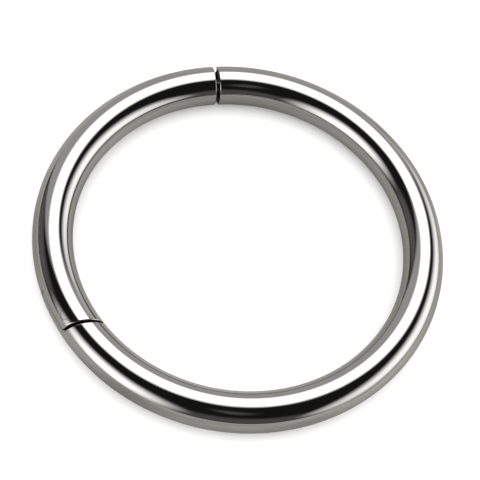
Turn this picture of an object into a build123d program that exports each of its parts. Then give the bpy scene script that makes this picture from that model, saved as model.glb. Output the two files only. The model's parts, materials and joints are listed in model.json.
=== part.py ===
from build123d import *
from math import asin, cos, degrees, hypot, radians, sin, sqrt
import os

# A hinged segment ring: a round steel wire bent into a circle, with one arc of it cut out and hung on
# a riveted hinge, so that the ring opens to go through a piercing and snaps shut.
# The ring lies flat on the floor z = 0. +Z is the ring's own axis, and its centre is at x = y = 0.
# The segment is centred on -X, with the hinge at its -Y end and the clasp at its +Y end.
# Everything is in millimetres and degrees. Angles about the ring's axis are counted from +X, clockwise
# seen from above.

# The ring
wire_diameter = 1.2
inner_diameter = 10.0
segment_arc = 117.5

# The seams
hinge_seam_slant = 22.0
clasp_seam_gap = 0.12
edge_round = 0.03

# The hinge: a tongue on the body, in a fork on the segment, with a rivet through both
pivot_setback = 0.45
pivot_depth = 0.30
hinge_pin_diameter = 0.30
tongue_thickness = 0.36
tongue_radius = 1.08
tongue_side_gap = 0.03
tongue_end_gap = 0.03
rivet_fit_gap = 0.01
rivet_running_gap = 0.03
swing_gap = 0.02

# The clasp: a ball-tip pin in the segment, and a socket in the body
ball_diameter = 0.60
ball_reach = 0.46
neck_diameter = 0.36
shank_diameter = 0.44
shank_depth = 1.20
shank_fit_gap = 0.01
shank_end_gap = 0.04
neck_gap = 0.03
ball_seat_gap = 0.04
ball_path_gap = 0.025

# How far a cutting shape reaches past what it cuts
cut_margin = 1.0

# Worked out from the sizes above
wire_radius = wire_diameter / 2
inner_radius = inner_diameter / 2
ring_radius = inner_radius + wire_radius
outer_radius = inner_radius + wire_diameter
middle_height = wire_radius


def arc_degrees(length):
    """The angle about the ring's axis that a length along the wire's centre line takes."""
    return degrees(length / ring_radius)


hinge_seam_angle = 180.0 - segment_arc / 2
clasp_seam_angle = 180.0 + segment_arc / 2
segment_clasp_end = clasp_seam_angle - arc_degrees(clasp_seam_gap / 2)
body_clasp_end = clasp_seam_angle + arc_degrees(clasp_seam_gap / 2)

pivot_angle = hinge_seam_angle + arc_degrees(pivot_setback)
pivot_radius = outer_radius - pivot_depth


def at(radius, angle):
    """The point in the ring's middle plane at this radius and angle."""
    return Vector(radius * cos(radians(angle)), -radius * sin(radians(angle)), middle_height)


def outward(angle):
    """The direction away from the ring's centre at this angle."""
    return Vector(cos(radians(angle)), -sin(radians(angle)), 0)


def onward(angle):
    """The wire's direction at this angle, clockwise seen from above."""
    return Vector(-sin(radians(angle)), -cos(radians(angle)), 0)


def across_wire(angle):
    """The plane square to the wire at this angle: its x runs outward and its y up."""
    return Plane(origin=at(ring_radius, angle), x_dir=outward(angle), z_dir=onward(angle))


pivot = at(pivot_radius, pivot_angle)
# x runs from the pivot to the seam, y outward
hinge_frame = Plane(origin=pivot, x_dir=-onward(pivot_angle), z_dir=(0, 0, -1))

# The hinge's seam is slanted, so that its outer end lies further along the segment than its inner end.
# The end of the segment is cut back there, and its outer corner can swing past the body with a thin seam.
# In the plane of the segment's end face, x runs outward along the slant and z points into the segment.
along_slant = outward(hinge_seam_angle) * cos(radians(hinge_seam_slant))
along_slant += onward(hinge_seam_angle) * sin(radians(hinge_seam_slant))
into_segment = onward(hinge_seam_angle) * cos(radians(hinge_seam_slant))
into_segment -= outward(hinge_seam_angle) * sin(radians(hinge_seam_slant))
segment_face = Plane(origin=at(ring_radius, hinge_seam_angle), x_dir=along_slant, z_dir=into_segment)

# The seam is as wide as the outer corner needs: the corner's distance from the pivot, less the face's.
face_to_pivot = segment_face.to_local_coords(pivot)
slant_rise = ring_radius * sin(radians(hinge_seam_slant))
outer_corner = sqrt(outer_radius ** 2 - slant_rise ** 2) - ring_radius * cos(radians(hinge_seam_slant))
swing_reach = hypot(outer_corner - face_to_pivot.X, face_to_pivot.Z)
hinge_seam_gap = swing_reach + swing_gap - face_to_pivot.Z
body_face = segment_face.offset(-hinge_seam_gap)

# The tongue's end and the floor of the fork's slot are arcs about the rivet, so that they stay the same
# distance apart as the segment turns.
slot_radius = tongue_radius + tongue_end_gap
slot_height = tongue_thickness + 2 * tongue_side_gap


def wire_arc(start, end):
    """The wire between two angles, with its ends square to it."""
    section = across_wire(start) * Circle(wire_radius)
    return revolve(section, axis=Axis((0, 0, 0), (0, 0, -1)), revolution_arc=end - start)


def round_end(part, angle):
    """Rounds the edge of the wire's end at this angle, as tumbling and polishing leave it."""
    middle = at(ring_radius, angle)
    edge = part.edges().filter_by(GeomType.CIRCLE).sort_by(lambda e: (e.arc_center - middle).length)[0]
    return fillet(edge, edge_round)


def pivot_hole(gap):
    """What a drill leaves through the wire for the rivet, with a radial gap around it."""
    return Location(pivot) * Cylinder(hinge_pin_diameter / 2 + gap, wire_diameter + cut_margin)


def hinge_disc(radius, height):
    """A flat disc about the rivet, in the ring's middle plane."""
    return Location(pivot) * Cylinder(radius, height)


def hinge_block(start, end, height):
    """A block across the hinge, between two distances from the pivot along the wire."""
    depth = 2 * (pivot_radius - inner_radius + cut_margin)
    return hinge_frame * Location(((start + end) / 2, 0, 0)) * Box(end - start, depth, height)


def tongue_waste():
    """What is cut off round the tongue's end, on the far side of the rivet."""
    height = wire_diameter + cut_margin
    return hinge_block(-tongue_radius - cut_margin, 0, height) - hinge_disc(tongue_radius, height)


def fork_slot():
    """The slot that takes the tongue: a round floor about the rivet, open towards the seam."""
    return hinge_disc(slot_radius, slot_height) + hinge_block(0, wire_diameter + cut_margin, slot_height)


def beside_tongue():
    """The two blocks of wire over and under the tongue, which make room for the fork's cheeks."""
    length = 2 * (wire_diameter + tongue_radius + cut_margin)
    height = wire_radius - tongue_thickness / 2 + cut_margin
    block = Box(wire_diameter + 2 * cut_margin, height, length)
    middle = (tongue_thickness + height) / 2
    return [body_face * Location((0, side, length / 2)) * block for side in (middle, -middle)]


def before_segment():
    """The block of wire that the slanted cut takes off the segment's hinge end."""
    size = 2 * (wire_diameter + cut_margin)
    return segment_face * Location((0, 0, -size / 2)) * Box(size, size, size)


def round_slanted_end(part):
    """Rounds the edge of the segment's slanted end face."""
    face = part.faces().sort_by(lambda f: (f.center() - segment_face.origin).length)[0]
    return fillet(face.edges(), edge_round)


# The clasp pin stands straight out of the segment's free end, along z of this plane.
clasp_frame = across_wire(segment_clasp_end)


def along_clasp(start, end, radius):
    """A round bar on the clasp pin's line, between two distances past the segment's end."""
    return clasp_frame * Location((0, 0, (start + end) / 2)) * Cylinder(radius, end - start)


def make_clasp_pin():
    ball = clasp_frame * Location((0, 0, ball_reach)) * Sphere(ball_diameter / 2)
    neck = along_clasp(0, ball_reach, neck_diameter / 2)
    shank = along_clasp(-shank_depth, 0, shank_diameter / 2)
    return ball + neck + shank


def make_socket():
    """The ball's seat, the neck's way in and the curved way that the ball takes about the pivot."""
    ball_centre = clasp_frame.from_local_coords(Vector(0, 0, ball_reach))
    seat = Location(ball_centre) * Sphere(ball_diameter / 2 + ball_seat_gap)
    neck_way = along_clasp(-cut_margin, ball_reach, neck_diameter / 2 + neck_gap)
    arm = ball_centre - pivot
    way_out = Vector(-arm.Y, arm.X, 0)
    path_start = Plane(origin=ball_centre, z_dir=way_out) * Circle(ball_diameter / 2 + ball_path_gap)
    path_degrees = degrees((ball_reach + ball_diameter + cut_margin) / arm.length)
    ball_way = revolve(path_start, axis=Axis(pivot, (0, 0, 1)), revolution_arc=path_degrees)
    return [seat, neck_way, ball_way]


def make_ring_body():
    past_tongue = pivot_angle + degrees(asin(tongue_radius / inner_radius))
    body = wire_arc(body_clasp_end - 360, past_tongue)
    body = round_end(body, body_clasp_end)
    for block in beside_tongue():
        body -= block
    body -= tongue_waste()
    body -= pivot_hole(rivet_running_gap)
    for hollow in make_socket():
        body -= hollow
    return body


def make_hinged_segment():
    segment = wire_arc(hinge_seam_angle - arc_degrees(wire_diameter), segment_clasp_end)
    segment -= before_segment()
    segment = round_slanted_end(segment)
    segment = round_end(segment, segment_clasp_end)
    segment -= fork_slot()
    segment -= pivot_hole(rivet_fit_gap)
    segment -= along_clasp(-shank_depth - shank_end_gap, cut_margin, shank_diameter / 2 + shank_fit_gap)
    return segment


def make_hinge_pin():
    """The rivet, trimmed flush with the wire above and below."""
    shaft = Location(pivot) * Cylinder(hinge_pin_diameter / 2, wire_diameter)
    past_rivet = arc_degrees(hinge_pin_diameter)
    return shaft & wire_arc(pivot_angle - past_rivet, pivot_angle + past_rivet)


parts = {
    "ring_body": make_ring_body(),
    "hinged_segment": make_hinged_segment(),
    "hinge_pin": make_hinge_pin(),
    "clasp_pin": make_clasp_pin(),
}

os.makedirs("parts", exist_ok=True)
for name, part in parts.items():
    export_step(part, f"parts/{name}.step")
    print(name, len(part.solids()), "solid", round(part.volume, 4), "mm3")

print("pivot", [round(value, 4) for value in pivot])
print("hinge seam gap", round(hinge_seam_gap, 4))
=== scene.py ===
# %% [markdown]
# # A hinged segment ring, dressed for its picture
#
# The real object is a piece of body jewellery: a round steel wire, 1.2 mm thick, bent into a circle. An
# arc of it is cut out and hung on a tiny riveted hinge, and a pin with a ball tip snaps that arc shut.
#
# The construction comes from the imported model, which is the fixed frame that everything here fits. Its
# meshes are coarse, and mirror-polished steel shows every facet, so each of its four parts gets a fine mesh
# of the same shape and size here. First the frame is loaded.

# %% Load the fixed frame
import json
from math import asin, atan2, cos, degrees, hypot, radians, sin, sqrt, tan

import bmesh
import bpy
from mathutils import Matrix, Vector


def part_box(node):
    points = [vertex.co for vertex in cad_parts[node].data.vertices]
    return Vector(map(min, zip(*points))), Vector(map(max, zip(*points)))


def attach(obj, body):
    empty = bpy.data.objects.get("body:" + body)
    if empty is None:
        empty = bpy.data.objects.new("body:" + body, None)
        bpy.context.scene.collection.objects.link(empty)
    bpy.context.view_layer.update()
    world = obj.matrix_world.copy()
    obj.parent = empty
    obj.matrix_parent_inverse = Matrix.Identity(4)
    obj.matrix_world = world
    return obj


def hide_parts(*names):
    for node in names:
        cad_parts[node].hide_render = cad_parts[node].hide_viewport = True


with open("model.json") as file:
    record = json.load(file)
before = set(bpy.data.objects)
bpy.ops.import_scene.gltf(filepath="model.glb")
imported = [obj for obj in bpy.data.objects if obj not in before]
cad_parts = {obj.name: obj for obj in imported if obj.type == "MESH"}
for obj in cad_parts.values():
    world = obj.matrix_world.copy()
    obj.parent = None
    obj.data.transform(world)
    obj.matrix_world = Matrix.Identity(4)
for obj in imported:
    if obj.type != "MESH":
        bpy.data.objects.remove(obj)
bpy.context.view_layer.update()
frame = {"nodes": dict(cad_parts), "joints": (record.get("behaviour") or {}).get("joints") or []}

print("CAD nodes:", sorted(frame["nodes"]))

# %% [markdown]
# ## Sizes
#
# The overall sizes are read from the frame: the wire lies flat, so its box is as high as the wire is
# thick, and the box of the fixed arc reaches to the ring's outside. The coarse mesh falls a few
# thousandths of a millimetre short there, so both are rounded. The joint gives the rivet's place. Most
# small sizes of hinge and clasp can't be read from a box, so they are named here. Lengths are in metres
# and angles in degrees.

# %% Overall sizes, from the frame
mm = 0.001

body_low, body_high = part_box("ring_body")
wire_radius = round((body_high.z - body_low.z) / mm, 2) / 2 * mm
outer_radius = round(body_high.x / mm, 1) * mm
ring_radius = outer_radius - wire_radius
inner_radius = ring_radius - wire_radius
middle_height = body_low.z + wire_radius

joint = frame["joints"][0]
pivot = Vector(joint["pos_m"])
pivot_radius = hypot(pivot.x, pivot.y)
print(f"wire {2 * wire_radius / mm:.3f} mm, inside {2 * inner_radius / mm:.3f} mm")
print("the segment opens over", joint["range_deg"], "degrees")

# %% Small sizes of the seams, the hinge and the clasp
segment_arc = 117.5
hinge_seam_slant = 22.0
clasp_seam_gap = 0.12 * mm
edge_round = 0.03 * mm
edge_break = 0.012 * mm

tongue_thickness = 0.36 * mm
tongue_radius = 1.08 * mm
tongue_side_gap = 0.03 * mm
tongue_end_gap = 0.03 * mm
rivet_fit_gap = 0.01 * mm
rivet_running_gap = 0.03 * mm
swing_gap = 0.02 * mm

ball_radius = 0.30 * mm
ball_reach = 0.46 * mm
neck_radius = 0.18 * mm
shank_radius = 0.22 * mm
shank_depth = 1.20 * mm
shank_fit_gap = 0.01 * mm
shank_end_gap = 0.04 * mm
neck_gap = 0.03 * mm
ball_seat_gap = 0.04 * mm
ball_path_gap = 0.025 * mm

# How far a cutting shape reaches past what it cuts, and how large one is that goes right through the wire
cut_margin = 1.0 * mm
through_wire = 4.0 * mm

# %% [markdown]
# ## Places
#
# Every place on the ring is an angle about its axis, counted clockwise from +X as seen from above. The two
# seams lie either side of -X, and the pivot's own angle comes from the joint. Two helpers turn an angle
# into a point and into a frame: a matrix whose x axis points away from the ring's centre and whose z axis
# runs along the wire.

# %% Angles and frames
clockwise = Vector((0, 0, -1))


def arc_degrees(length):
    """The angle about the ring's axis that a length along the wire's centre line takes."""
    return degrees(length / ring_radius)


def at(radius, angle):
    """The point in the ring's middle plane at this radius and angle."""
    return Vector((radius * cos(radians(angle)), -radius * sin(radians(angle)), middle_height))


def onward(angle):
    """The wire's direction at this angle, clockwise seen from above."""
    return Vector((-sin(radians(angle)), -cos(radians(angle)), 0))


def placed(origin, x_axis, z_axis):
    """The matrix that puts a shape's own origin and axes here."""
    turn = Matrix((x_axis, z_axis.cross(x_axis), z_axis)).transposed()
    return Matrix.Translation(origin) @ turn.to_4x4()


def across_wire(angle):
    """The frame square to the wire at this angle: x outward, z onward."""
    outward = (at(1, angle) - at(0, angle)).normalized()
    return placed(at(ring_radius, angle), outward, onward(angle))


hinge_seam_angle = 180.0 - segment_arc / 2
clasp_seam_angle = 180.0 + segment_arc / 2
segment_clasp_end = clasp_seam_angle - arc_degrees(clasp_seam_gap / 2)
body_clasp_end = clasp_seam_angle + arc_degrees(clasp_seam_gap / 2)
clasp_frame = across_wire(segment_clasp_end)

pivot_angle = 180.0 - degrees(asin(-pivot.y / pivot_radius))
hinge_frame = placed(pivot, -onward(pivot_angle), clockwise)
print(f"seams at {hinge_seam_angle:.1f} and {clasp_seam_angle:.1f} degrees, pivot at {pivot_angle:.2f}")

# %% [markdown]
# The hinge's seam is slanted: its outer end lies further along the segment than its inner end. So the
# segment's outer corner can swing past the body with a seam that stays thin, and that corner's reach from
# the pivot is what sets the seam's width.

# %% The slanted seam
slant = radians(hinge_seam_slant)
slant_rise = ring_radius * sin(slant)


def along_slant(radius):
    """How far outward along the slant, from the centre line, this distance from the ring's axis is met."""
    return sqrt(radius ** 2 - slant_rise ** 2) - ring_radius * cos(slant)


# x runs outward along the slant, and z points into the segment
segment_face = across_wire(hinge_seam_angle) @ Matrix.Rotation(-slant, 4, "Y")
face_to_pivot = segment_face.inverted() @ pivot
swing_reach = hypot(along_slant(outer_radius) - face_to_pivot.x, face_to_pivot.z)
hinge_seam_gap = swing_reach + swing_gap - face_to_pivot.z
body_face = segment_face @ Matrix.Translation((0, 0, -hinge_seam_gap))
body_hinge_end = hinge_seam_angle - arc_degrees(hinge_seam_gap / cos(slant))
print(f"hinge seam {hinge_seam_gap / mm:.4f} mm wide")

# %% [markdown]
# ## Steel
#
# The ring is surgical steel, 316L, cut from drawn wire and mirror-polished in a tumbler and on a buffing
# wheel. Such a surface has hardly a colour of its own: what the eye sees is the room in it. Three small
# things tell it from a perfect mirror. The wheel leaves the surface very slightly uneven over about a
# millimetre, so reflected edges waver. It leaves fine lines along the wire. And its haze comes and goes.
#
# A metal is Metallic 1 with its reflectance as base colour, and its IOR stays at the default. A few small
# functions come first: one turns an sRGB hex colour into linear light, and the others add nodes.

# %% Colour and node helpers
def colour(hex_code):
    """Linear light from an sRGB hex colour."""
    shares = [int(hex_code[start:start + 2], 16) / 255 for start in (1, 3, 5)]
    return (*[s / 12.92 if s <= 0.04045 else ((s + 0.055) / 1.055) ** 2.4 for s in shares], 1.0)


def add_node(tree, kind, inputs, **settings):
    """Adds a node; inputs holds a value, or the output that feeds it, for each socket that is set."""
    node = tree.nodes.new(kind)
    for name, value in settings.items():
        setattr(node, name, value)
    for socket, value in inputs.items():
        if isinstance(value, bpy.types.NodeSocket):
            tree.links.new(value, node.inputs[socket])
        else:
            node.inputs[socket].default_value = value
    return node


def calculate(tree, operation, value, other):
    """The output of a Math node."""
    return add_node(tree, "ShaderNodeMath", {0: value, 1: other}, operation=operation).outputs[0]


def place_nodes(tree):
    """The place on the object, its x, y and z, and its distance from the ring's axis."""
    place = add_node(tree, "ShaderNodeTexCoord", {}).outputs["Object"]
    axes = add_node(tree, "ShaderNodeSeparateXYZ", {"Vector": place}).outputs
    flat_place = add_node(tree, "ShaderNodeVectorMath", {0: place, 1: (1, 1, 0)}, operation="MULTIPLY")
    from_axis = add_node(tree, "ShaderNodeVectorMath", {0: flat_place.outputs["Vector"]}, operation="LENGTH")
    return place, axes, from_axis.outputs["Value"]


def empty_material(name):
    """A material whose nodes are still to be added, and its node tree."""
    material = bpy.data.materials.new(name)
    material.use_nodes = True
    material.node_tree.nodes.clear()
    return material, material.node_tree


def new_material(name):
    """A material with a Principled shader, its node tree and the shader."""
    material, tree = empty_material(name)
    shader = add_node(tree, "ShaderNodeBsdfPrincipled", {})
    add_node(tree, "ShaderNodeOutputMaterial", {"Surface": shader.outputs["BSDF"]})
    return material, tree, shader

# %% [markdown]
# The buffing lines run along the wire, so their pattern has to know where along and where across is. On a
# bent wire, the distance from the ring's axis and the height both change only across it. Fed finely into
# a four-dimensional noise, with x and y fed in coarsely, they draw streaks that follow the bend and have
# no seam. Real lines are a few thousandths of a millimetre wide. They are drawn more than ten times as
# wide here, because finer ones would fall between the picture's pixels.

# %% Mirror-polished steel
buffing_line_width = 0.07 * mm
buffing_line_length = 2.5 * mm
waver_length = 1.6 * mm
haze_patch = 0.9 * mm

polished_steel, tree, shader = new_material("steel_316L_mirror_polished")
shader.inputs["Base Color"].default_value = colour("#C4C2BF")
shader.inputs["Metallic"].default_value = 1.0

place, axes, from_axis = place_nodes(tree)
fine_scale = 1 / buffing_line_width
coarse_scale = 1 / buffing_line_length
fine_radius = calculate(tree, "MULTIPLY", from_axis, fine_scale)
fine_height = calculate(tree, "MULTIPLY", axes["Z"], fine_scale)
coarse_x = calculate(tree, "MULTIPLY", axes["X"], coarse_scale)
coarse_y = calculate(tree, "MULTIPLY", axes["Y"], coarse_scale)
along_wire = add_node(tree, "ShaderNodeCombineXYZ", {"X": fine_radius, "Y": fine_height, "Z": coarse_x})
buffing_lines = add_node(tree, "ShaderNodeTexNoise", {
    "Vector": along_wire.outputs[0], "W": coarse_y, "Scale": 1.0, "Detail": 2.0}, noise_dimensions="4D")

waver = add_node(tree, "ShaderNodeTexNoise", {
    "Vector": place, "Scale": 1 / waver_length, "Detail": 1.0})
haze = add_node(tree, "ShaderNodeTexNoise", {
    "Vector": place, "Scale": 1 / haze_patch, "Detail": 3.0})
roughness = add_node(tree, "ShaderNodeMapRange", {
    "Value": haze.outputs["Fac"], "From Min": 0.3, "From Max": 0.7, "To Min": 0.035, "To Max": 0.075})
tree.links.new(roughness.outputs["Result"], shader.inputs["Roughness"])

waver_bump = add_node(tree, "ShaderNodeBump", {
    "Height": waver.outputs["Fac"], "Strength": 1.0, "Distance": 0.010 * mm})
line_bump = add_node(tree, "ShaderNodeBump", {
    "Height": buffing_lines.outputs["Fac"], "Strength": 1.0, "Distance": 0.0004 * mm,
    "Normal": waver_bump.outputs["Normal"]})
tree.links.new(line_bump.outputs["Normal"], shader.inputs["Normal"])
print("made", polished_steel.name)

# %% [markdown]
# No wheel reaches into the slot, the socket and the seams. They stay as the cutter left them: the same
# steel, but matt, with a fine grain that varies its tone at random. On top of that, their colour carries
# painted shade. It is worked out from the place as the depth under the wire's skin, and it goes from a
# lighter rim to a dark inside, which makes both seams read as black lines.

# %% Milled steel
cutter_grain = 0.05 * mm
# The depth under the wire's skin over which the painted shade goes from the light rim to the dark inside
painted_shade_depth = 0.16 * mm

milled_steel, tree, shader = new_material("steel_316L_as_milled")
shader.inputs["Metallic"].default_value = 1.0
place, axes, from_axis = place_nodes(tree)
aside = calculate(tree, "SUBTRACT", from_axis, ring_radius)
above = calculate(tree, "SUBTRACT", axes["Z"], middle_height)
from_middle = add_node(tree, "ShaderNodeCombineXYZ", {"X": aside, "Y": above})
reach = add_node(tree, "ShaderNodeVectorMath", {0: from_middle.outputs[0]}, operation="LENGTH")
# Painted shade: dark deep under the wire's skin, light at the skin
painted_shade_by_depth = add_node(tree, "ShaderNodeMapRange", {
    "Value": reach.outputs["Value"], "From Min": wire_radius - painted_shade_depth, "From Max": wire_radius},
    interpolation_type="SMOOTHSTEP")

grain = add_node(tree, "ShaderNodeTexNoise", {
    "Vector": place, "Scale": 1 / cutter_grain, "Detail": 4.0, "Roughness": 0.6})
grain_and_painted_shade = add_node(tree, "ShaderNodeMath", {
    0: grain.outputs["Fac"], 1: 0.35, 2: painted_shade_by_depth.outputs["Result"]}, operation="MULTIPLY_ADD")
# The colour: the grain's random tone plus the painted shade, between a dark and a light steel grey
milled_colour_painted_shade = add_node(tree, "ShaderNodeMix", {
    "Factor": grain_and_painted_shade.outputs[0], "A": colour("#2A2927"), "B": colour("#8F8E8C")}, data_type="RGBA")
tree.links.new(milled_colour_painted_shade.outputs["Result"], shader.inputs["Base Color"])
roughness = add_node(tree, "ShaderNodeMapRange", {
    "Value": grain.outputs["Fac"], "From Min": 0.3, "From Max": 0.7, "To Min": 0.30, "To Max": 0.48})
tree.links.new(roughness.outputs["Result"], shader.inputs["Roughness"])
grain_bump = add_node(tree, "ShaderNodeBump", {
    "Height": grain.outputs["Fac"], "Strength": 1.0, "Distance": 0.002 * mm})
tree.links.new(grain_bump.outputs["Normal"], shader.inputs["Normal"])
print("made", milled_steel.name)

# %% [markdown]
# ## Shapes that cut
#
# The real maker bends the wire first and then mills the slot, drills the rivet's hole and sinks the
# socket. The same order works here: a stretch of wire is made whole, and Boolean modifiers take the
# cutters out of it. A cutter brings its own material along, so each cut face gets the milled finish.

# %% A mesh object from a bmesh, and a cut
def finished_object(name, bm, material):
    """Turns a bmesh into an object of the scene, with its faces pointing outwards."""
    bmesh.ops.recalc_face_normals(bm, faces=bm.faces)
    mesh = bpy.data.meshes.new(name)
    bm.to_mesh(mesh)
    bm.free()
    mesh.materials.append(material)
    made = bpy.data.objects.new(name, mesh)
    bpy.context.scene.collection.objects.link(made)
    return made


def apply_modifiers(made):
    """Puts what an object's modifiers make of it into its own mesh."""
    evaluated = made.evaluated_get(bpy.context.evaluated_depsgraph_get())
    old_mesh = made.data
    made.data = bpy.data.meshes.new_from_object(evaluated)
    made.modifiers.clear()
    bpy.data.meshes.remove(old_mesh)


def cut(made, cutter, operation="DIFFERENCE"):
    """Cuts one shape out of another, joins them or keeps what they share, and throws the cutter away."""
    boolean = made.modifiers.new("cut", "BOOLEAN")
    boolean.object = cutter
    boolean.operation = operation
    boolean.solver = "EXACT"
    boolean.material_mode = "TRANSFER"
    apply_modifiers(made)
    bpy.data.objects.remove(cutter)

# %% Cutters: a block and a round bar
bar_sides = 96


def block(place, size_x, size_y, size_z):
    """A box with its middle at the origin of a frame."""
    bm = bmesh.new()
    bmesh.ops.create_cube(bm, size=1.0, matrix=place @ Matrix.Diagonal((size_x, size_y, size_z, 1)))
    return finished_object("cutter", bm, milled_steel)


def bar(place, radius, start, end):
    """A round bar on the z axis of a frame, between two distances along it."""
    bm = bmesh.new()
    middle = place @ Matrix.Translation((0, 0, (start + end) / 2))
    bmesh.ops.create_cone(
        bm, cap_ends=True, segments=bar_sides, radius1=radius, radius2=radius, depth=end - start,
        matrix=middle)
    return finished_object("cutter", bm, milled_steel)


def hinge_block(start, end, height):
    """A block across the hinge, between two distances from the pivot along the wire."""
    middle = hinge_frame @ Matrix.Translation(((start + end) / 2, 0, 0))
    return block(middle, end - start, through_wire, height)


def hinge_disc(radius, height):
    """A flat disc about the rivet, in the ring's middle plane."""
    return bar(Matrix.Translation(pivot), radius, -height / 2, height / 2)

# %% [markdown]
# ## The wire
#
# A stretch of wire is a circle spun about the ring's axis. With steps of one degree its outline stays
# within a hundredth of a pixel of the true curve, and 96 sides round the wire keep the edges of the
# reflections smooth. At each end the last circle is extruded a few times, a little smaller each time,
# which rounds the edge as tumbling does. A flat milled face then closes the end.
#
# Near the hinge, each corner of the mesh is then turned about Z until its row of faces follows the slant
# of the seam. Turned so, it stays on the wire's surface. The segment's end becomes the slanted face, and
# the cuts over and under the body's tongue run within one row. The rows follow the slant fully up to
# slant_full degrees from the seam, and not at all from slant_fade degrees on.

# %% Rows of faces that follow the slant
slant_full = 3.0
slant_fade = 12.0


def slant_rows(bm):
    """Turns the rows of faces near the hinge to the slant of its seam."""
    for vert in bm.verts:
        angle = degrees(atan2(-vert.co.y, vert.co.x)) % 360
        share = (slant_fade - abs(angle - hinge_seam_angle)) / (slant_fade - slant_full)
        share = min(1, max(0, share))
        radius = vert.co.xy.length
        turn = asin(along_slant(radius) * sin(slant) / radius)
        vert.co.rotate(Matrix.Rotation(share * turn, 3, clockwise))

# %% A stretch of wire with rounded ends
wire_sides = 96
wire_step = 1.0
round_steps = 6
milled_slot = 1


def round_and_close(bm, loop, angle, radius, direction):
    """Extrudes an open end of the wire round its edge and closes it. direction is 1 onward, or -1."""
    size = wire_radius
    turned = angle
    for step in range(1, round_steps + 1):
        lean = radians(90 * step / round_steps)
        new_angle = angle + direction * arc_degrees(radius * sin(lean))
        new_size = wire_radius - radius * (1 - cos(lean))
        extruded = bmesh.ops.extrude_edge_only(bm, edges=loop)["geom"]
        loop = [part for part in extruded if isinstance(part, bmesh.types.BMEdge)]
        corners = [part for part in extruded if isinstance(part, bmesh.types.BMVert)]
        loop = [edge for edge in loop if all(vert in corners for vert in edge.verts)]
        turn = Matrix.Rotation(radians(new_angle - turned), 3, clockwise)
        bmesh.ops.rotate(bm, cent=(0, 0, 0), matrix=turn, verts=corners)
        shrink = Vector((1, 1, 1)) * (new_size / size)
        bmesh.ops.scale(bm, vec=shrink, space=Matrix.Translation(-at(ring_radius, new_angle)), verts=corners)
        size = new_size
        turned = new_angle
    bmesh.ops.edgeloop_fill(bm, edges=loop, mat_nr=milled_slot)


def wire_stretch(name, stops, start_round, end_round):
    """A closed stretch of wire between the outer two angles of stops. A row of faces ends at each stop."""
    first = stops[0] + arc_degrees(start_round)
    last = stops[-1] - arc_degrees(end_round)
    bm = bmesh.new()
    circle = bmesh.ops.create_circle(
        bm, cap_ends=False, segments=wire_sides, radius=wire_radius, matrix=across_wire(first))
    first_loop = bm.edges[:]
    end = circle["verts"] + first_loop
    angle = first
    for stop in [*stops[1:-1], last]:
        steps = max(1, round((stop - angle) / wire_step))
        spun = bmesh.ops.spin(
            bm, geom=end, cent=(0, 0, 0), axis=clockwise, angle=radians(stop - angle), steps=steps,
            use_merge=False)
        end = spun["geom_last"]
        angle = stop
    last_loop = [part for part in end if isinstance(part, bmesh.types.BMEdge)]
    round_and_close(bm, last_loop, last, end_round, 1)
    round_and_close(bm, first_loop, first, start_round, -1)
    slant_rows(bm)
    made = finished_object(name, bm, polished_steel)
    made.data.materials.append(milled_steel)
    return made

# %% [markdown]
# ## Shading the polish
#
# A mirror shows where its normals point, and nothing else. The wire's surface is known exactly: at each
# point it faces away from the nearest point of the wire's centre line. So every corner of a face that
# lies on the wire is given that normal, and the reflections run on undisturbed up to each cut, however
# the Booleans have split the faces there. Cut faces keep the normals that a Weighted Normal modifier
# gives them, which leaves flat ones flat.

# %% Exact normals on the wire
# A face lies on the wire if its corners do and its normal leans off the wire's by less than four degrees
on_wire_reach = 0.003 * mm
on_wire_lean = cos(radians(4))
sharp_from = radians(32)


def wire_normal(point):
    """Square to the wire's surface, away from the nearest point of its centre line."""
    nearest = Vector((point.x, point.y, 0)).normalized() * ring_radius
    return (point - nearest - Vector((0, 0, middle_height))).normalized()


def from_centre_line(point):
    """How far a point is from the wire's centre line."""
    return hypot(hypot(point.x, point.y) - ring_radius, point.z - middle_height)


def shade_polished(made):
    """Smooth shading, with sharp cut edges and exact normals where a face lies on the wire."""
    mesh = made.data
    mesh.shade_smooth()
    mesh.set_sharp_from_angle(angle=sharp_from)
    weighted = made.modifiers.new("weighted", "WEIGHTED_NORMAL")
    weighted.keep_sharp = True
    apply_modifiers(made)
    mesh = made.data
    normals = [corner.vector.copy() for corner in mesh.corner_normals]
    count = 0
    for face in mesh.polygons:
        points = [mesh.vertices[index].co for index in face.vertices]
        on_wire = all(abs(from_centre_line(point) - wire_radius) < on_wire_reach for point in points)
        if on_wire and face.normal.dot(wire_normal(face.center)) > on_wire_lean:
            count += 1
            for corner, point in zip(face.loop_indices, points):
                normals[corner] = wire_normal(point)
    mesh.normals_split_custom_set(normals)
    print(f"{made.name}: {len(mesh.polygons)} faces, {count} of them on the wire")

# %% [markdown]
# ## Broken edges
#
# Nothing worn in the skin has a raw edge. After milling, the maker breaks each edge by a hair, and the
# thin line of light on it is what makes a joint look real. The outer edges of a cut are found by their
# angle and their place, and a bevel rounds them. The rivet's hole is left alone, because the rivet is
# hammered into it and polished flush.

# %% Breaking the edges of a cut
rivet_low, rivet_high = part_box("hinge_pin")
rivet_radius = round((rivet_high.x - rivet_low.x) / mm, 1) / 2 * mm
hinge_reach = 1.5 * mm


def near_hinge(edge):
    """True for an edge of the hinge, apart from the rivet's hole."""
    aside = (edge.verts[0].co + edge.verts[1].co) / 2 - pivot
    return rivet_radius + 2 * rivet_running_gap < aside.xy.length < hinge_reach


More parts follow.
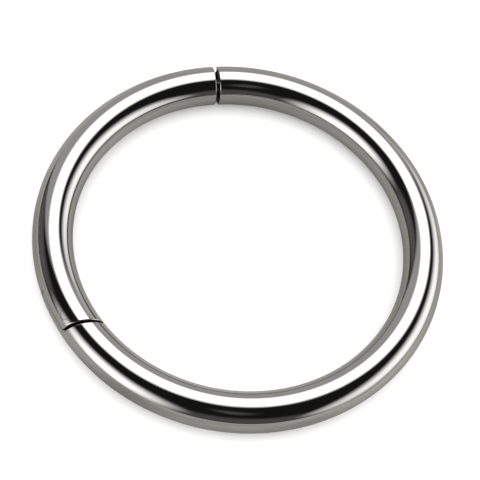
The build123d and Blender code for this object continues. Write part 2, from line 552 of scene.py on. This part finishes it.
def break_edges(made, width, segments, chosen):
    """Rounds the sharp outer edges that pass the test chosen."""
    bm = bmesh.new()
    bm.from_mesh(made.data)
    edges = [
        edge for edge in bm.edges
        if edge.is_manifold and edge.is_convex and edge.calc_face_angle() > sharp_from and chosen(edge)]
    bmesh.ops.bevel(
        bm, geom=edges, offset=width, offset_type="OFFSET", affect="EDGES", segments=segments, profile=0.5,
        material=-1, clamp_overlap=True)
    bm.to_mesh(made.data)
    bm.free()
    print(f"{made.name}: broke {len(edges)} edges by {width / mm:.3f} mm")

# %% [markdown]
# ## The hinged segment
#
# This is the short arc that swings. Its hinge end is a fork: a slot takes the body's tongue, and a hole
# down through both cheeks takes the rivet. The slot is cut by a flat disc about the rivet, a hair wider
# than the tongue's own round end, so the gap between the two stays the same as the segment turns. A block
# opens the disc towards the seam. The other end is drilled for the clasp pin.

# %% Model the hinged segment
slot_radius = tongue_radius + tongue_end_gap
slot_height = tongue_thickness + 2 * tongue_side_gap

hinged_segment = wire_stretch(
    "hinged_segment_polished", [hinge_seam_angle, segment_clasp_end], edge_round, edge_round)
slot = hinge_disc(slot_radius, slot_height)
cut(slot, hinge_block(0, 2 * wire_radius + cut_margin, slot_height), "UNION")
cut(hinged_segment, slot)
cut(hinged_segment, hinge_disc(rivet_radius + rivet_fit_gap, through_wire))
cut(hinged_segment, bar(
    clasp_frame, shank_radius + shank_fit_gap, -shank_depth - shank_end_gap, cut_margin))
break_edges(hinged_segment, edge_break, 2, near_hinge)

# %% [markdown]
# ## The body
#
# The body is the rest of the ring. Blocks above and below take away all but the tongue, which the fork
# holds, and the tongue's end is rounded to an arc about the rivet. In the other end is the socket: a seat
# for the ball, a way in for the neck, and the curved way that the ball takes as the segment swings about
# the pivot.

# %% Cutter for the ball's way into its socket
def ball_way():
    """A round bar bent about the pivot, which starts in the ball's seat."""
    path_degrees = 18
    path_steps = 12
    ball_centre = clasp_frame @ Vector((0, 0, ball_reach))
    arm = ball_centre - pivot
    way_out = Vector((-arm.y, arm.x, 0)).normalized()
    bm = bmesh.new()
    bmesh.ops.create_circle(
        bm, cap_ends=False, segments=bar_sides, radius=ball_radius + ball_path_gap,
        matrix=placed(ball_centre, Vector((0, 0, 1)), way_out))
    bmesh.ops.spin(
        bm, geom=bm.verts[:] + bm.edges[:], cent=pivot, axis=(0, 0, 1), angle=radians(path_degrees),
        steps=path_steps, use_merge=False)
    bmesh.ops.holes_fill(bm, edges=bm.edges, sides=0)
    return finished_object("cutter", bm, milled_steel)

# %% Bend the body's wire and sink the socket
seat_rings = 32
past_tongue = pivot_angle + degrees(asin(tongue_radius / inner_radius))

ring_body = wire_stretch(
    "ring_body_polished", [body_clasp_end - 360, body_hinge_end - wire_step / 2, past_tongue],
    edge_round, edge_round)
cut(ring_body, ball_way())
bm = bmesh.new()
bmesh.ops.create_uvsphere(
    bm, u_segments=2 * seat_rings, v_segments=seat_rings, radius=ball_radius + ball_seat_gap,
    matrix=clasp_frame @ Matrix.Translation((0, 0, ball_reach)))
cut(ring_body, finished_object("cutter", bm, milled_steel))
cut(ring_body, bar(clasp_frame, neck_radius + neck_gap, -cut_margin, ball_reach))

# %% Cut the tongue
block_height = wire_radius - tongue_thickness / 2 + cut_margin
block_length = through_wire + tongue_radius
for side in (1, -1):
    middle = side * (tongue_thickness + block_height) / 2
    beside = body_face @ Matrix.Translation((0, middle, block_length / 2))
    cut(ring_body, block(beside, through_wire, block_height, block_length))
tongue_waste = hinge_block(-tongue_radius - cut_margin, 0, through_wire)
cut(tongue_waste, hinge_disc(tongue_radius, through_wire + cut_margin))
cut(ring_body, tongue_waste)
cut(ring_body, hinge_disc(rivet_radius + rivet_running_gap, through_wire))

# %% Break the body's edges
to_shoulder = body_face.inverted()


def on_shoulder(edge):
    """True for an edge of the body's end face, over or under the tongue, on the wire's outside."""
    return all(
        abs((to_shoulder @ vert.co).z) < on_wire_reach
        and from_centre_line(vert.co) > wire_radius - on_wire_reach for vert in edge.verts)


break_edges(ring_body, edge_round, 3, on_shoulder)
break_edges(ring_body, edge_break, 2, near_hinge)

# %% [markdown]
# ## The rivet
#
# The rivet is a short pin, hammered tight in the fork and polished down with it, so its ends have the
# wire's own curve. It is what a bar through the hinge and the wire share.

# %% Model the rivet
hinge_pin = hinge_disc(rivet_radius, through_wire)
hinge_pin.name = "hinge_pin_polished"
hinge_pin.data.materials[0] = polished_steel
stub_reach = arc_degrees(3 * rivet_radius)
cut(hinge_pin, wire_stretch(
    "cutter", [pivot_angle - stub_reach, pivot_angle + stub_reach], edge_round, edge_round), "INTERSECT")

# %% [markdown]
# ## The clasp pin
#
# The clasp pin is turned on a lathe: a shank that sits in the segment, a thinner neck and the ball. A
# lathe part is a spin: half its outline, from tip to tail, is turned once round its own axis.

# %% Model the clasp pin
ball_steps = 20
around_steps = 64
weld_reach = 0.0001 * mm

neck_lean = degrees(asin(neck_radius / ball_radius))
bm = bmesh.new()
tip = bm.verts.new((0, 0, ball_reach + ball_radius))
ball_outline = bmesh.ops.spin(
    bm, geom=[tip], cent=(0, 0, ball_reach), axis=(0, 1, 0), angle=radians(180 - neck_lean),
    steps=ball_steps, use_merge=False)
under_ball = next(part for part in ball_outline["geom_last"] if isinstance(part, bmesh.types.BMVert))
outline = [(neck_radius, 0), (shank_radius, 0), (shank_radius, -shank_depth), (0, -shank_depth)]
chain = [under_ball, *[bm.verts.new((x, 0, z)) for x, z in outline]]
for one, other in zip(chain, chain[1:]):
    bm.edges.new((one, other))
bmesh.ops.spin(
    bm, geom=bm.verts[:] + bm.edges[:], cent=(0, 0, 0), axis=(0, 0, 1), angle=radians(360),
    steps=around_steps, use_merge=True)
bmesh.ops.remove_doubles(bm, verts=bm.verts, dist=weld_reach)
bmesh.ops.transform(bm, matrix=clasp_frame, verts=bm.verts)
clasp_pin = finished_object("clasp_pin_polished", bm, polished_steel)

# %% [markdown]
# ## Joining the frame
#
# Each piece moves with a body of the imported model, and the part that it is a finer copy of is hidden.

# %% Finish the surfaces and hang the pieces on their bodies
for made in (hinged_segment, ring_body, hinge_pin, clasp_pin):
    shade_polished(made)

pieces = [
    (ring_body, "ring", "ring_body"),
    (hinged_segment, "segment", "hinged_segment"),
    (hinge_pin, "segment", "hinge_pin"),
    (clasp_pin, "segment", "clasp_pin"),
]
for made, body, node in pieces:
    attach(made, body)
    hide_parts(node)

# %% [markdown]
# ## The studio
#
# Polished steel is lit by what it mirrors. The picture that this follows shows a large soft light behind
# and above the ring, which fills the wire's upper face, weaker ones low at the front left, at the right
# and behind, and a dark room on the camera's side, which draws the black line along the wire. The ring
# mirrors a grey table top, while the ground around it is pure white. So there are two floors: a grey
# table top that only reflections see, and white paper, a hair lower, for everything else.
#
# A white dome stands in for the rest of the studio. It lights the paper evenly, so that the shadows stay
# faint, and closes the view at the horizon, and reflections don't see it.

# %% Stage objects and their materials
mottle_size = 6 * mm


def stage_object(name, bm, material, seen_by):
    """An object of the studio. seen_by names the rays that meet it: camera, diffuse or glossy."""
    made = finished_object(name, bm, material)
    made.visible_camera = "camera" in seen_by
    made.visible_diffuse = "diffuse" in seen_by
    made.visible_glossy = "glossy" in seen_by
    made.visible_transmission = False
    made.visible_volume_scatter = False
    made.visible_shadow = False


def matt_material(name, dark, light):
    """A matt surface, softly mottled between two colours."""
    material, tree, shader = new_material(name)
    place = add_node(tree, "ShaderNodeTexCoord", {}).outputs["Object"]
    mottle = add_node(tree, "ShaderNodeTexNoise", {"Vector": place, "Scale": 1 / mottle_size, "Detail": 1.0})
    share = add_node(tree, "ShaderNodeMapRange", {
        "Value": mottle.outputs["Fac"], "From Min": 0.3, "From Max": 0.7})
    mixed = add_node(tree, "ShaderNodeMix", {
        "Factor": share.outputs["Result"], "A": colour(dark), "B": colour(light)}, data_type="RGBA")
    tree.links.new(mixed.outputs["Result"], shader.inputs["Base Color"])
    shader.inputs["Roughness"].default_value = 0.9
    shader.inputs["Specular IOR Level"].default_value = 0.1
    return material


def dome_glow(name, strength):
    """An even white glow."""
    material, tree = empty_material(name)
    glow = add_node(tree, "ShaderNodeEmission", {"Strength": strength})
    add_node(tree, "ShaderNodeOutputMaterial", {"Surface": glow.outputs[0]})
    return material


def softbox_glow(name, strength, softness):
    """A glow that is full in the middle of its panel and fades to a round edge, and hides nothing."""
    material, tree = empty_material(name)
    place = add_node(tree, "ShaderNodeTexCoord", {}).outputs["UV"]
    from_middle = add_node(tree, "ShaderNodeVectorMath", {0: place, 1: (0.5, 0.5, 0)}, operation="DISTANCE")
    fade = add_node(tree, "ShaderNodeMapRange", {
        "Value": from_middle.outputs["Value"], "From Min": 0.5 * (1 - softness), "From Max": 0.5,
        "To Min": strength, "To Max": 0.0}, interpolation_type="SMOOTHSTEP")
    glow = add_node(tree, "ShaderNodeEmission", {"Strength": fade.outputs["Result"]})
    clear = add_node(tree, "ShaderNodeBsdfTransparent", {})
    both = add_node(tree, "ShaderNodeAddShader", {0: glow.outputs[0], 1: clear.outputs[0]})
    add_node(tree, "ShaderNodeOutputMaterial", {"Surface": both.outputs[0]})
    return material

# %% Floors, dome and dark room
floor_size = 1000 * mm
dome_radius = 400 * mm
paper_drop = 0.002 * mm

for name, dark, light, drop, seen_by in (
        ("table", "#7A7975", "#A5A4A0", 0, ("glossy",)),
        ("paper", "#F2F2F1", "#F6F6F5", paper_drop, ("camera", "diffuse"))):
    bm = bmesh.new()
    bmesh.ops.create_grid(
        bm, x_segments=1, y_segments=1, size=floor_size / 2, matrix=Matrix.Translation((0, 0, -drop)))
    stage_object(name, bm, matt_material(name + "_matt", dark, light), seen_by)

bm = bmesh.new()
bmesh.ops.create_icosphere(bm, subdivisions=4, radius=dome_radius)
stage_object("dome", bm, dome_glow("dome_white", 1.8), ("camera", "diffuse"))

world = bpy.data.worlds.new("dark_room")
bpy.context.scene.world = world
world.use_nodes = True
world.node_tree.nodes["Background"].inputs["Color"].default_value = colour("#FFFFFF")
world.node_tree.nodes["Background"].inputs["Strength"].default_value = 0.012

# %% Softboxes
# How far the camera stands round the ring from -Y, towards +X
camera_turn = 11.0
panel_distance = 300 * mm


def softbox(name, bearing, elevation, width, height, strength, softness):
    """A round glowing panel that faces the ring, seen by mirrors only. Its place and size are angles.

    bearing is counted from the camera's right, and 90 is straight away from the camera.
    """
    turn = radians(bearing + camera_turn)
    flat = cos(radians(elevation))
    towards = Vector((cos(turn) * flat, sin(turn) * flat, sin(radians(elevation))))
    size_x, size_y = (2 * panel_distance * tan(radians(angle / 2)) for angle in (width, height))
    facing = towards.to_track_quat("Z", "Y").to_matrix().to_4x4()
    shape = Matrix.Translation(towards * panel_distance) @ facing @ Matrix.Diagonal((size_x, size_y, 1, 1))
    bm = bmesh.new()
    bm.loops.layers.uv.new("panel")
    bmesh.ops.create_grid(bm, x_segments=1, y_segments=1, size=0.5, matrix=shape, calc_uvs=True)
    stage_object(name, bm, softbox_glow(name + "_glow", strength, softness), ("glossy",))


# After the name: bearing, elevation, width, height, strength, softness
softbox("softbox_above_behind", 96, 60, 58, 65, 2.1, 0.5)
softbox("softbox_front_left", 228, 18, 80, 70, 2.2, 0.95)
softbox("softbox_right", 13, 16, 126, 62, 1.75, 0.9)
softbox("softbox_behind", 108, 26, 86, 106, 0.46, 0.25)
softbox("softbox_dim_front", 286, 12, 100, 50, 0.085, 0.6)
softbox("softbox_dim_left", 170, 15, 60, 52, 0.12, 0.7)
softbox("softbox_glimmer", 290, 58, 18, 26, 0.09, 0.9)

# %% [markdown]
# ## Camera
#
# The camera looks down at 60 degrees from the side that the photograph was taken from, with the ring
# turned clockwise in the picture, as it is there. It stands as far off as the photograph's perspective
# says, and a long lens brings the ring to fill most of the frame.

# %% Place the camera
camera_elevation = 60.0
camera_roll = 14.0
camera_distance = 8.85 * ring_radius
share_of_frame = 0.86

camera_data = bpy.data.cameras.new("camera")
camera = bpy.data.objects.new("camera", camera_data)
bpy.context.scene.collection.objects.link(camera)
bpy.context.scene.camera = camera
bearing = radians(camera_turn)
back = Vector((
    sin(bearing) * cos(radians(camera_elevation)), -cos(bearing) * cos(radians(camera_elevation)),
    sin(radians(camera_elevation))))
target = Vector((0, 0, middle_height))
camera.location = target + back * camera_distance
camera.rotation_mode = "QUATERNION"
level = (-back).to_track_quat("-Z", "Y").to_matrix().to_4x4()
camera.rotation_quaternion = (level @ Matrix.Rotation(radians(camera_roll), 4, "Z")).to_quaternion()
camera_data.sensor_width = 36.0
camera_data.lens = camera_data.sensor_width * share_of_frame * camera_distance / (2 * outer_radius)
camera_data.clip_start = 1 * mm
camera_data.clip_end = 2 * floor_size
bpy.context.scene.view_settings.view_transform = "Standard"
print(f"camera {camera_distance / mm:.1f} mm off, lens {camera_data.lens:.0f} mm")
